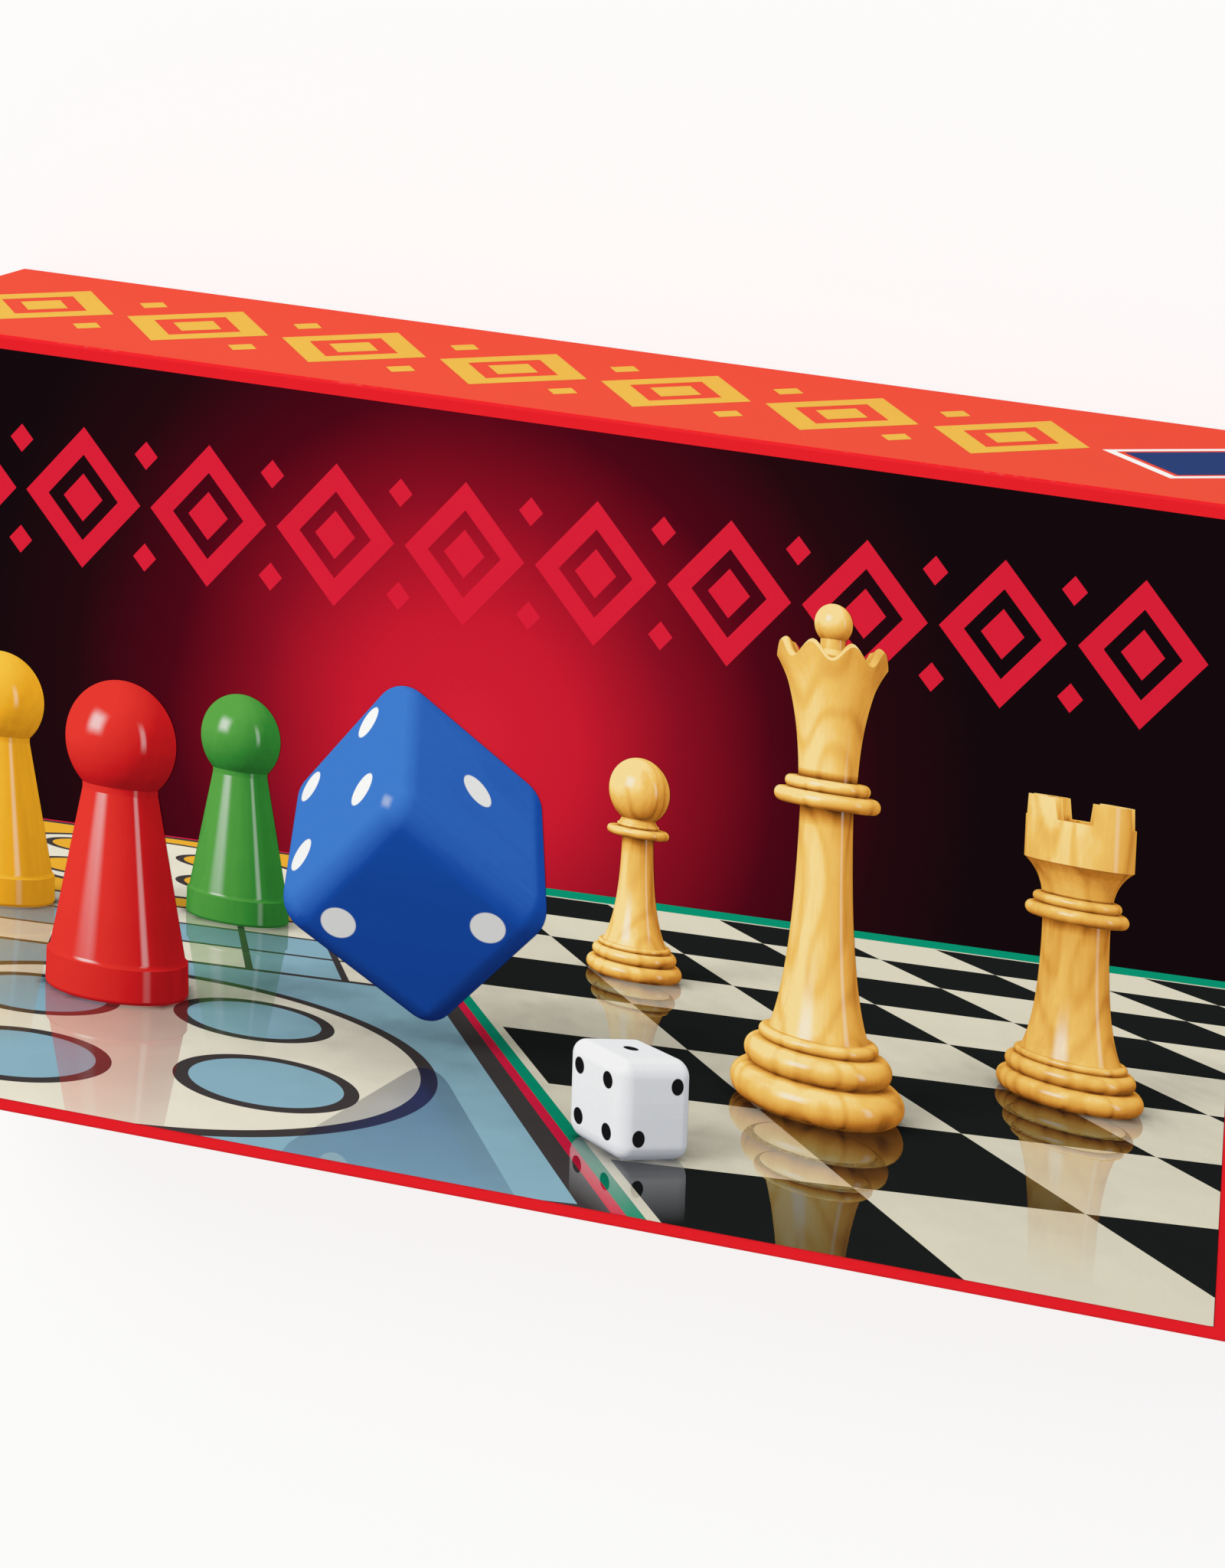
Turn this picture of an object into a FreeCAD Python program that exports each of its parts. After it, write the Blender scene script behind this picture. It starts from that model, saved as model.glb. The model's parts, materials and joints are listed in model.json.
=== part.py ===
# Chess and ludo set in a paper-wrapped board box with a full-depth lift-off lid.
# A folding game board lies on a card insert. The insert's three wells hold turned wooden chessmen,
# turned ludo men and a die, and a folded rules leaflet lies across the insert's two dividers.
# Frame: origin at the middle of the base's underside, X along the box, Y across it, Z up. Millimetres.
import FreeCAD
import Part

import math
import os
from collections import namedtuple

Vec = FreeCAD.Vector
UP = Vec(0, 0, 1)
ALONG = Vec(1, 0, 0)

# Folding board: two halves that fold face to face. The box is as wide as the folded board needs
board_side = 281.0
board_half_thick = 2.4
board_corner_round = 2.0
crease_gap = 0.15

# Cloth hinge tape, creased inside the fold
tape_thick = 0.15
tape_bend = 0.1
tape_leaf = 10.0
tape_end_margin = 3.0

# Box: rigid board shells wrapped in paper
box_high = 58.0
greyboard = 1.5
wrap = 0.25
wrap_turn_in = 15.0
wrap_trim = 0.3
edge_round = 0.8
lid_play_long = 2.75
lid_play_wide = 4.0
lid_slip = 0.6
lid_table_gap = 0.5
lid_headroom = 0.35
base_rim_drop = 0.4

# Card insert with a raised floor, and its two dividers
insert_slip = 0.4
insert_wall = 2.4
insert_floor = 1.0
well_deep = 25.0
divider_thick = 1.2
divider_slip = 0.2

# Rules leaflet, one sheet folded once
leaflet_long = 148.0
leaflet_wide = 105.0
leaflet_sheet = 0.25
leaflet_bend = 0.05

# Clearance round each man in its well, and under it
man_gap = 1.2
lie_gap = 0.2

# Turned details that the chessmen share
foot_high = 2.8
cushion_step = 1.3
cushion_high = 2.0
ring_high = 0.9
ring_step = 1.3
collar_high = 1.4
neck_high = 0.6

# Chessmen: overall height, foot, waist, collar and head diameters
Man = namedtuple("Man", "height base waist collar head")
king = Man(height=50.0, base=18.0, waist=6.6, collar=11.6, head=11.0)
queen = Man(height=45.5, base=17.0, waist=6.2, collar=11.0, head=10.6)
bishop = Man(height=40.0, base=15.5, waist=5.4, collar=9.6, head=7.8)
knight = Man(height=36.0, base=15.5, waist=9.6, collar=11.4, head=6.8)
rook = Man(height=31.5, base=15.5, waist=7.6, collar=10.4, head=11.0)
pawn = Man(height=28.5, base=14.0, waist=4.8, collar=9.0, head=8.6)

crown_high = 7.6
crown_dome = 1.6
crown_lip = 0.7
crown_flare = 0.5
cross_high = 6.4
cross_wide = 4.8
cross_bar = 1.7
coronet_high = 8.4
coronet_lip = 1.1
coronet_flare = 0.7
coronet_dish = 1.0
coronet_ball = 3.4
coronet_points = 8
coronet_notch = 1.5
mitre_high = 11.0
mitre_ball = 2.6
mitre_cut = 0.8
mitre_cut_deep = 4.0
mitre_cut_lean = 35.0
tower_high = 8.6
tower_rim = 1.7
tower_cup = 2.4
tower_slots = 4
tower_slot = 2.2
knight_collar_top = 12.0
knight_plan_reach = 9.6
knight_poll_wide = 4.4

# Knight's head in side view: shares of the foot's radius forwards and of the head's rise upwards
knight_outline = {
    "chest": (0.62, 0), "breast": (0.72, 0.19), "throat": (0.38, 0.36), "cheek": (0.60, 0.40),
    "jaw": (0.86, 0.34), "lip": (0.97, 0.38), "nose": (0.98, 0.47), "bridge": (0.66, 0.70),
    "brow": (0.36, 0.82), "ear": (0.24, 1.0), "poll": (-0.02, 0.86), "crest": (-0.48, 0.66),
    "nape": (-0.62, 0.30), "back": (-0.66, 0),
}

# Curves of the turned men: shares of the part's own radius or height that an arc passes through
waist_bow_in = 0.28
waist_bow_up = 0.42
crown_flare_up = 0.55
crown_dome_in = 0.7
crown_dome_up = 0.75
coronet_flare_up = 0.5
coronet_ball_neck = 0.8
mitre_neck = 0.85
mitre_lower_in = 0.86
mitre_lower_up = 0.12
mitre_swell_up = 0.36
mitre_upper_in = 0.72
mitre_upper_up = 0.72
mitre_ball_neck = 0.7
mitre_cut_up = 0.42
tower_flare_up = 0.2
tower_straight_up = 0.5

# Ludo men and the die
ludo_man_high = 23.0
ludo_man_base = 11.8
ludo_man_foot = 2.2
ludo_man_neck = 6.4
ludo_man_head = 9.0
ludo_men_each = 4
die_side = 13.0
die_round = 2.4
die_turn = 20.0
pip_round = 1.0
pip_deep = 0.45
pip_pitch = 3.3

# Levels of the stack, from the table up
tape_half_gap = tape_thick + tape_bend
board_thick = 2 * board_half_thick + 2 * tape_half_gap
lid_ceiling = box_high - wrap - greyboard
board_low = lid_ceiling - lid_headroom - board_thick
fold_z = board_low + board_half_thick + tape_half_gap
insert_top = board_low
base_top = insert_top - base_rim_drop
well_floor = insert_top - well_deep
leaflet_thick = 2 * leaflet_sheet + 2 * leaflet_bend

# Widths across the box, worked outwards from the folded board to the lid, then inwards to the wells
half_wide = board_side / 2 - crease_gap
fold_y = half_wide / 2 + crease_gap
lid_side = greyboard + wrap
lid_to_base = wrap + lid_slip
base_side = greyboard + wrap
base_to_insert = wrap + insert_slip
lid_inner_wide = half_wide + 2 * lid_play_wide
box_wide = lid_inner_wide + 2 * lid_side
base_wide = lid_inner_wide - 2 * lid_to_base
base_inner_wide = base_wide - 2 * base_side
insert_wide = base_inner_wide - 2 * base_to_insert
well_wide = insert_wide - 2 * insert_wall

# Lengths along the box
Lengths = namedtuple("Lengths", "well insert base_inner base lid_inner box")


def plan_lengths(wells_need):
    """Lengths along the box, which is as long as the board or the filled wells need, whichever is more."""
    board_need = board_side + 2 * lid_play_long
    insert_need = wells_need + 2 * (insert_wall + base_to_insert + base_side + lid_to_base)
    lid_inner = max(board_need, insert_need)
    base = lid_inner - 2 * lid_to_base
    base_inner = base - 2 * base_side
    insert = base_inner - 2 * base_to_insert
    return Lengths(insert - 2 * insert_wall, insert, base_inner, base, lid_inner, lid_inner + 2 * lid_side)


def block(long, wide, low, high):
    """A rectangular block centred on the Z axis, between two heights."""
    return Part.makeBox(long, wide, high - low, Vec(-long / 2, -wide / 2, low))


def rounded_block(long, wide, low, high, radius, keep_square):
    """A block with its edges rounded, apart from those round the face at height keep_square."""
    shape = block(long, wide, low, high)
    edges = [e for e in shape.Edges if any(abs(v.Z - keep_square) > 1e-6 for v in e.Vertexes)]
    return shape.makeFillet(radius, edges)


def folded_sheet(length, leaf, thick, bend, crease_y, crease_z):
    """A sheet along X, folded once: two flat leaves joined by a half-round crease that faces +Y."""
    outer = bend + thick
    open_y = crease_y - leaf
    corners = [Vec(-length / 2, y, crease_z + z) for y, z in (
        (open_y, -outer), (crease_y, -outer), (crease_y, outer), (open_y, outer),
        (open_y, bend), (crease_y, bend), (crease_y, -bend), (open_y, -bend))]
    edges = [Part.makeLine(corners[i], corners[(i + 1) % 8]) for i in (0, 2, 3, 4, 6, 7)]
    for start, end, radius in ((1, 2, outer), (5, 6, bend)):
        top = Vec(-length / 2, crease_y + radius, crease_z)
        edges.append(Part.Arc(corners[start], top, corners[end]).toShape())
    section = Part.Face(Part.Wire(Part.__sortEdges__(edges)))
    return section.extrude(ALONG * length)


class Turning:
    """A lathe profile, drawn from the middle of the foot up to the middle of the top."""

    def __init__(self):
        self.at = Vec(0, 0, 0)
        self.edges = []

    def line(self, radius, height):
        end = Vec(radius, 0, height)
        if end.distanceToPoint(self.at) > 1e-6:
            self.edges.append(Part.makeLine(self.at, end))
            self.at = end

    def arc(self, mid_radius, mid_height, radius, height):
        end = Vec(radius, 0, height)
        self.edges.append(Part.Arc(self.at, Vec(mid_radius, 0, mid_height), end).toShape())
        self.at = end

    def bead(self, radius, top):
        """A half-round edge out to a radius, from the present height up to top."""
        low = self.at.z
        root = radius - (top - low) / 2
        self.line(root, low)
        self.arc(radius, (low + top) / 2, root, top)

    def ball(self, radius, top):
        """A ball that closes the profile at the top, from where the present radius meets it."""
        middle = top - radius
        start = middle - math.sqrt(radius ** 2 - self.at.x ** 2)
        self.line(self.at.x, start)
        self.arc(radius, middle, 0, top)

    def solid(self):
        self.line(0, self.at.z)
        self.line(0, 0)
        return Part.Face(Part.Wire(self.edges)).revolve(Vec(0, 0, 0), UP, 360)


def stem(man, collar_top):
    """The foot, cushion, ring, tapering body and collar of a chessman."""
    turn = Turning()
    cushion = man.base / 2 - cushion_step
    ring = cushion - ring_step
    turn.bead(man.base / 2, foot_high)
    turn.bead(cushion, foot_high + cushion_high)
    turn.bead(ring, foot_high + cushion_high + ring_high)
    shoulder = ring - ring_high
    start = turn.at.z
    collar_low = collar_top - collar_high
    turn.line(shoulder, start)
    waist = man.waist / 2
    bow = waist + waist_bow_in * (shoulder - waist)
    turn.arc(bow, start + waist_bow_up * (collar_low - start), waist, collar_low)
    turn.bead(man.collar / 2, collar_top)
    return turn


def make_pawn():
    head = pawn.head / 2
    neck = pawn.waist / 2
    ball_foot = pawn.height - head - math.sqrt(head ** 2 - neck ** 2)
    turn = stem(pawn, ball_foot - neck_high)
    turn.line(neck, turn.at.z)
    turn.ball(head, pawn.height)
    return turn.solid()


def make_king():
    crown_top = king.height - cross_high - crown_dome
    crown_low = crown_top - crown_high
    turn = stem(king, crown_low - neck_high)
    neck, rim = king.waist / 2, king.head / 2
    turn.line(neck, turn.at.z)
    turn.line(neck, crown_low)
    turn.arc((neck + rim) / 2 - crown_flare, crown_low + crown_high * crown_flare_up, rim, crown_top)
    turn.line(rim - crown_lip, crown_top)
    turn.arc((rim - crown_lip) * crown_dome_in, crown_top + crown_dome * crown_dome_up,
             cross_bar / 2, crown_top + crown_dome)
    cross_low = crown_top + crown_dome / 2
    post = block(cross_bar, cross_bar, cross_low, king.height)
    arm_low = king.height - cross_high / 2 - cross_bar / 4
    arm = block(cross_wide, cross_bar, arm_low, arm_low + cross_bar)
    return turn.solid().fuse([post, arm]).removeSplitter()


def make_queen():
    rim_top = queen.height - coronet_ball
    crown_low = rim_top - coronet_high
    turn = stem(queen, crown_low - neck_high)
    neck, rim = queen.waist / 2, queen.head / 2
    turn.line(neck, turn.at.z)
    turn.line(neck, crown_low)
    turn.arc((neck + rim) / 2 - coronet_flare, crown_low + coronet_high * coronet_flare_up, rim, rim_top)
    turn.line(rim - coronet_lip, rim_top)
    turn.line(coronet_ball / 2 * coronet_ball_neck, rim_top - coronet_dish)
    turn.ball(coronet_ball / 2, queen.height)
    shape = turn.solid()
    notches = []
    for i in range(coronet_points):
        notch = Part.makeCylinder(coronet_notch / 2, rim, Vec(coronet_ball / 2, 0, rim_top), ALONG)
        notch.rotate(Vec(0, 0, 0), UP, 360 / coronet_points * i)
        notches.append(notch)
    return shape.cut(notches)


def make_bishop():
    mitre_top = bishop.height - mitre_ball
    mitre_low = mitre_top - mitre_high
    turn = stem(bishop, mitre_low - neck_high)
    neck, swell = bishop.waist / 2 * mitre_neck, bishop.head / 2
    turn.line(neck, turn.at.z)
    turn.line(neck, mitre_low)
    turn.arc(swell * mitre_lower_in, mitre_low + mitre_high * mitre_lower_up,
             swell, mitre_low + mitre_high * mitre_swell_up)
    turn.arc(swell * mitre_upper_in, mitre_low + mitre_high * mitre_upper_up,
             mitre_ball / 2 * mitre_ball_neck, mitre_top)
    turn.ball(mitre_ball / 2, bishop.height)
    cut = block(mitre_cut, bishop.head, 0, mitre_high)
    cut.rotate(Vec(0, 0, 0), Vec(0, 1, 0), mitre_cut_lean)
    cut.translate(Vec(swell - mitre_cut_deep, 0, mitre_low + mitre_high * mitre_cut_up))
    return turn.solid().cut(cut)


def make_rook():
    tower_low = rook.height - tower_high
    turn = stem(rook, tower_low - neck_high)
    neck, rim = rook.waist / 2, rook.head / 2
    turn.line(neck, turn.at.z)
    turn.line(neck, tower_low)
    turn.arc((neck + rim) / 2, tower_low + tower_high * tower_flare_up,
             rim, tower_low + tower_high * tower_straight_up)
    turn.line(rim, rook.height)
    turn.line(rim - tower_rim, rook.height)
    turn.line(rim - tower_rim, rook.height - tower_cup)
    slots = []
    for i in range(tower_slots // 2):
        slot = block(rook.base, tower_slot, rook.height - tower_cup, rook.height)
        slot.rotate(Vec(0, 0, 0), UP, 360 / tower_slots * i)
        slots.append(slot)
    return turn.solid().cut(slots)


def make_knight():
    """A turned foot with a carved horse's head, which faces +X and is flat on both sides."""
    low = knight_collar_top
    rise = knight.height - low
    reach = knight.base / 2
    turn = stem(knight, low)

    def point(name):
        x, z = knight_outline[name]
        return Vec(x * reach, -knight.head / 2, low + z * rise)

    def line(start, end):
        return Part.makeLine(point(start), point(end))

    def arc(start, middle, end):
        return Part.Arc(point(start), point(middle), point(end)).toShape()

    edges = [arc("chest", "breast", "throat"), arc("throat", "cheek", "jaw"), arc("jaw", "lip", "nose"),
             arc("nose", "bridge", "brow"), line("brow", "ear"), line("ear", "poll"),
             arc("poll", "crest", "nape"), line("nape", "back"), line("back", "chest")]
    side_view = Part.Face(Part.Wire(edges)).extrude(Vec(0, knight.head, 0))
    plan = Part.Ellipse(Vec(0, 0, low), knight_plan_reach, knight.head / 2).toShape()
    plan_view = Part.Face(Part.Wire(plan)).extrude(UP * rise)
    bottom, top = knight.head / 2, knight_poll_wide / 2
    front = [Vec(-reach, y, z) for y, z in ((-bottom, low), (bottom, low), (top, knight.height),
                                            (-top, knight.height), (-bottom, low))]
    front_view = Part.Face(Part.makePolygon(front)).extrude(ALONG * 2 * reach)
    head = side_view.common(plan_view).common(front_view)
    return turn.solid().fuse(head).removeSplitter()


def make_ludo_man():
    turn = Turning()
    turn.line(ludo_man_base / 2, 0)
    turn.line(ludo_man_base / 2, ludo_man_foot)
    head, neck = ludo_man_head / 2, ludo_man_neck / 2
    turn.line(neck, ludo_man_high - head - math.sqrt(head ** 2 - neck ** 2))
    turn.ball(head, ludo_man_high)
    return turn.solid()


def make_die():
    """A cube with rounded edges and dimpled pips, opposite faces adding up to seven. It stands on Z = 0."""
    cube = block(die_side, die_side, -die_side / 2, die_side / 2)
    cube = cube.makeFillet(die_round, cube.Edges)
    p = pip_pitch
    corners = [(-p, -p), (p, p)]
    others = [(-p, p), (p, -p)]
    sides = [(-p, 0), (p, 0)]
    faces = {1: [(0, 0)], 2: corners, 3: corners + [(0, 0)], 4: corners + others,
             5: corners + others + [(0, 0)], 6: corners + others + sides}
    turns = {1: (ALONG, 0), 6: (ALONG, 180), 2: (ALONG, 90), 5: (ALONG, -90),
             3: (Vec(0, 1, 0), 90), 4: (Vec(0, 1, 0), -90)}
    ball = (pip_round ** 2 + pip_deep ** 2) / (2 * pip_deep)
    dimples = []
    for count, spots in faces.items():
        axis, angle = turns[count]
        for x, y in spots:
            dimple = Part.makeSphere(ball, Vec(x, y, die_side / 2 - pip_deep + ball))
            dimple.rotate(Vec(0, 0, 0), axis, angle)
            dimples.append(dimple)
    die = cube.cut(dimples)
    die.translate(Vec(0, 0, die_side / 2))
    return die


def lie_tilt(foot_radius, foot_z, rests):
    """The angle at which a man lies on its foot and on the first of its upper rings to touch."""
    return min(math.atan2(foot_radius - radius, z - foot_z) for radius, z in rests)


Lying = namedtuple("Lying", "shape base tilt foot_z length")


def lying_man(shape, height, base, foot_z, rests):
    """A man with what is needed to lay it down, pointing along +Y."""
    tilt = lie_tilt(base / 2, foot_z, rests)
    return Lying(shape, base, tilt, foot_z, height * math.cos(tilt) + base * math.sin(tilt))


def lay_down(man, x, y):
    """A copy of the man, lying on the well's floor with the back of its foot at y."""
    foot = man.base / 2
    z = well_floor + lie_gap + man.foot_z * math.sin(man.tilt) + foot * math.cos(man.tilt)
    shape = man.shape.copy()
    shape.rotate(Vec(0, 0, 0), ALONG, -90 - math.degrees(man.tilt))
    shape.translate(Vec(x, y + foot * math.sin(man.tilt), z))
    return shape


Column = namedtuple("Column", "men width")


def plan_columns(men):
    """Sorts named men into columns across the well, end to end, and finds where each one's foot goes."""
    columns, men_here, y, widest = [], [], -well_wide / 2 + man_gap, 0
    for name, man in men:
        if men_here and y + man.length + man_gap > well_wide / 2:
            columns.append(Column(men_here, widest))
            men_here, y, widest = [], -well_wide / 2 + man_gap, 0
        men_here.append((name, man, y))
        y += man.length + man_gap
        widest = max(widest, man.base)
    return columns + [Column(men_here, widest)]


def columns_need(columns):
    """The length of well that the columns fill, with a gap beside each."""
    return sum(column.width + man_gap for column in columns) + man_gap


def fill_well(columns, side, towards):
    """Lays the columns of men down beside each other, from a wall of the well onwards."""
    placed = {}
    for column in columns:
        middle = side + towards * (man_gap + column.width / 2)
        for name, man, y in column.men:
            placed[name] = lay_down(man, middle, y)
        side += towards * (man_gap + column.width)
    return placed


def make_chessmen():
    """Each kind of chessman, ready to be laid down."""
    foot = foot_high / 2
    shapes = {
        "king": (king, make_king(), [(king.head / 2, king.height - cross_high - crown_dome)]),
        "queen": (queen, make_queen(), [(queen.head / 2, queen.height - coronet_ball)]),
        "bishop": (bishop, make_bishop(), [
            (bishop.head / 2, bishop.height - mitre_ball - mitre_high * (1 - mitre_swell_up)),
            (bishop.collar / 2, bishop.height - mitre_ball - mitre_high - neck_high - collar_high / 2)]),
        "knight": (knight, make_knight(), [(knight.head / 2, knight.height),
                                           (knight.collar / 2, knight_collar_top - collar_high / 2)]),
        "rook": (rook, make_rook(), [(rook.head / 2, rook.height),
                                     (rook.head / 2, rook.height - tower_high * (1 - tower_straight_up))]),
        "pawn": (pawn, make_pawn(), [
            (pawn.head / 2, pawn.height - pawn.head / 2),
            (pawn.collar / 2, pawn.height - pawn.head - neck_high)]),
    }
    return {kind: lying_man(shape, man.height, man.base, foot, rests)
            for kind, (man, shape, rests) in shapes.items()}


def chess_set(colour, kinds):
    """The sixteen men of one colour, in packing order, each with its name."""
    men = [(f"{colour}_{kind}", kinds[kind]) for kind in ("king", "queen")]
    for kind, count in (("bishop", 2), ("knight", 2), ("rook", 2), ("pawn", 8)):
        men += [(f"{colour}_{kind}_{i + 1}", kinds[kind]) for i in range(count)]
    return men


def ludo_set():
    """Columns of ludo men, one column for each colour."""
    head = ludo_man_head / 2
    man = lying_man(make_ludo_man(), ludo_man_high, ludo_man_base, ludo_man_foot,
                    [(head, ludo_man_high - head)])
    columns = []
    for colour in ("green", "yellow", "red", "blue"):
        columns += plan_columns([(f"ludo_{colour}_{i + 1}", man) for i in range(ludo_men_each)])
    return columns


def place_die(side):
    """The die, lying turned in its well, beyond the given side."""
    turn = math.radians(die_turn)
    reach = die_side / 2 * (math.cos(turn) + math.sin(turn))
    die = make_die()
    die.rotate(Vec(0, 0, 0), UP, die_turn)
    die.translate(Vec(side + man_gap + reach, -well_wide / 2 + man_gap + reach, well_floor + lie_gap))
    return die, 2 * reach + man_gap


def make_lid(lengths):
    """The lid's rigid shell, and the printed paper that wraps it and turns in round its rim."""
    rim = lid_table_gap + wrap
    shell = rounded_block(lengths.box - 2 * wrap, box_wide - 2 * wrap, rim, box_high - wrap,
                          edge_round - wrap, rim)
    cavity = block(lengths.lid_inner, lid_inner_wide, rim, lid_ceiling)
    shell = shell.cut(cavity)
    skin = rounded_block(lengths.box, box_wide, lid_table_gap, box_high, edge_round, lid_table_gap)
    mouth = block(lengths.lid_inner - 2 * wrap, lid_inner_wide - 2 * wrap,
                  lid_table_gap, rim + wrap_turn_in)
    upper = block(lengths.lid_inner, lid_inner_wide, rim + wrap_turn_in, lid_ceiling)
    return shell, skin.cut([shell, mouth, upper])


def make_base(lengths):
    """The base's rigid tray, and the plain paper round its walls that turns in over its rim."""
    tray = block(lengths.base - 2 * wrap, base_wide - 2 * wrap, 0, base_top - wrap)
    tray = tray.cut(block(lengths.base_inner, base_inner_wide, greyboard, base_top))
    skin = block(lengths.base, base_wide, wrap_trim, base_top)
    core = block(lengths.base_inner, base_inner_wide, 0, base_top - wrap - wrap_turn_in)
    mouth = block(lengths.base_inner - 2 * wrap, base_inner_wide - 2 * wrap, 0, base_top)
    return tray, skin.cut([tray, core, mouth])


def make_insert(lengths):
    """A double-walled card tray whose floor is raised, with a hollow under it."""
    outer = block(lengths.insert, insert_wide, greyboard, insert_top)
    well = block(lengths.well, well_wide, well_floor, insert_top)
    hollow = block(lengths.well, well_wide, greyboard, well_floor - insert_floor)
    return outer.cut([well, hollow])


def make_dividers(chess_side):
    """Two card strips across the insert, beside the chessmen's columns. The leaflet lies on them."""
    strips = []
    for side in (-1, 1):
        strip = block(divider_thick, well_wide - 2 * divider_slip, well_floor, insert_top - leaflet_thick)
        strip.translate(Vec(side * (chess_side - divider_thick / 2), 0, 0))
        strips.append(strip)
    return Part.makeCompound(strips)


def make_board_half(low):
    """One half of the board, with its two corners away from the fold rounded."""
    half = block(board_side, half_wide, low, low + board_half_thick)
    free = [e for e in half.Edges if e.BoundBox.ZLength > board_half_thick / 2 and e.BoundBox.YMax < 0]
    return half.makeFillet(board_corner_round, free)


def main():
    kinds = make_chessmen()
    light, dark = (plan_columns(chess_set(colour, kinds)) for colour in ("light", "dark"))
    ludo = ludo_set()
    chess_need, ludo_need = columns_need(light), columns_need(ludo)
    die, die_need = place_die(0)
    middle_need = ludo_need + die_need
    lengths = plan_lengths(2 * (chess_need + divider_thick) + middle_need)
    chess_side = lengths.well / 2 - chess_need

    nodes = fill_well(light, -lengths.well / 2, 1)
    nodes.update(fill_well(dark, lengths.well / 2, -1))
    nodes.update(fill_well(ludo, -middle_need / 2, 1))
    die.translate(Vec(ludo_need - middle_need / 2 - man_gap, 0, 0))
    nodes["die"] = die

    nodes["lid_shell"], nodes["lid_wrap"] = make_lid(lengths)
    nodes["base_tray"], nodes["base_wrap"] = make_base(lengths)
    nodes["card_insert"] = make_insert(lengths)
    nodes["insert_dividers"] = make_dividers(chess_side)
    nodes["rules_leaflet"] = folded_sheet(
        leaflet_long, leaflet_wide, leaflet_sheet, leaflet_bend,
        leaflet_wide / 2, insert_top - leaflet_thick / 2)
    nodes["board_lower_half"] = make_board_half(board_low)
    nodes["board_upper_half"] = make_board_half(fold_z + tape_half_gap)
    nodes["hinge_tape"] = folded_sheet(
        board_side - 2 * tape_end_margin, tape_leaf, tape_thick, tape_bend, fold_y, fold_z)

    os.makedirs("parts", exist_ok=True)
    for name, shape in nodes.items():
        shape.exportStep(f"parts/{name}.step")
    print(f"{len(nodes)} nodes, box {lengths.box:.2f} x {box_wide:.2f} x {box_high:.2f} mm")
    print(f"fold axis y {fold_y:.3f} z {fold_z:.3f}")
    print(f"well floor {well_floor:.2f}, insert top {insert_top:.2f}")
    print(f"dividers' chess sides at {chess_side:.2f}, wells to {lengths.well / 2:.2f}")
    print(f"ludo group {middle_need:.2f} long")


main()
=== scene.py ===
"""Looks of a boxed chess and ludo set: printed wrap, game board, turned wood, paint and card."""
import json
import math
from collections import namedtuple
from functools import cache, partialmethod

import bmesh
import bpy
import numpy as np
from mathutils import Euler, Matrix, Vector
from mathutils.bvhtree import BVHTree


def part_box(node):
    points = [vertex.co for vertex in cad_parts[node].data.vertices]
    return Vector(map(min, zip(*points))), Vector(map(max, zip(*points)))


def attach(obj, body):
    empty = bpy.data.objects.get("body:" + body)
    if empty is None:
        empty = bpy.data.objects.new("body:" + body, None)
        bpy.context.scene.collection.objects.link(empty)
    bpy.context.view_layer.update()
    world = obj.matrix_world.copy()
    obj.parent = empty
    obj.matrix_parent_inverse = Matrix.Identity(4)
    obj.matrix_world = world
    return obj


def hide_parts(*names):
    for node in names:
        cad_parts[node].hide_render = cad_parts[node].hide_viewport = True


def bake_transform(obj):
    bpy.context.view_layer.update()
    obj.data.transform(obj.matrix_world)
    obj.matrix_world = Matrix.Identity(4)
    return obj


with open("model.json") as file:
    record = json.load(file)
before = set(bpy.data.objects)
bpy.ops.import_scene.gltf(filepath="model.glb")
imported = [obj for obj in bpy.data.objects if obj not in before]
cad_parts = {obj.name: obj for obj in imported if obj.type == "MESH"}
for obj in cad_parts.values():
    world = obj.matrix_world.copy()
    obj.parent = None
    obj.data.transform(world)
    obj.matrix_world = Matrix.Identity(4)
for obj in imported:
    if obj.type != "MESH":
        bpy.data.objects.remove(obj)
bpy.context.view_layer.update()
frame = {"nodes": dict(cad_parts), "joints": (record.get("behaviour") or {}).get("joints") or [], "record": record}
nodes = frame["nodes"]

MM = 0.001


def size_of(node):
    """A CAD node's lowest and highest corner, in millimetres."""
    return [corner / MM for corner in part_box(node)]


# Places read from the frame, in millimetres
lid_low, lid_high = size_of("lid_wrap")
half_long, half_wide, lid_top = lid_high
insert_top = size_of("card_insert")[1].z
tape_low, tape_high = size_of("hinge_tape")
fold = next(joint for joint in frame["joints"] if joint["name"] == "board_fold")
fold_y, fold_z = (place / MM for place in fold["pos_m"][1:])

# Printed border and glow of the lid's panel, in millimetres from the panel's middle
BORDER = 2.7
EDGE_FOLD = 0.4
GLOW_AT = Vector((-12.0, 13.0))
GLOW_REACH = 105.0

# The wrap on the lid's ends: its cut edge and the flaps under it, from the corners
END_CUT = 0.7
END_CUT_WAVER = 0.7
END_FLAP = 14.0

# The picture's eye: how high it looks from, how far back it is, and where its horizon lies on the panel
EYE_HIGH = 98.0
EYE_BACK = 320.0
HORIZON = 25.0

# The picture's relief on the panel, and its floor: two boards side by side, turned about a pivot
RELIEF = 0.2
PICTURE_SQUARE = 60.0
PICTURE_CELL = 32.0
PICTURE_EDGE = 7.0
PICTURE_TURN = math.radians(13)
PICTURE_PIVOT = (24.0, 0.0)
PICTURE_DEEP = 8 * PICTURE_SQUARE + PICTURE_EDGE
CHESS_NEAR_ROW = 0.4
LUDO_MIDDLE = (-7.7, 7.5)

# Game board's faces
CHESS_SQUARE = 32.0
LUDO_CELL = 17.8
CREASE = 2.2
LEAFLET_SQUARE = 6.0

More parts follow.
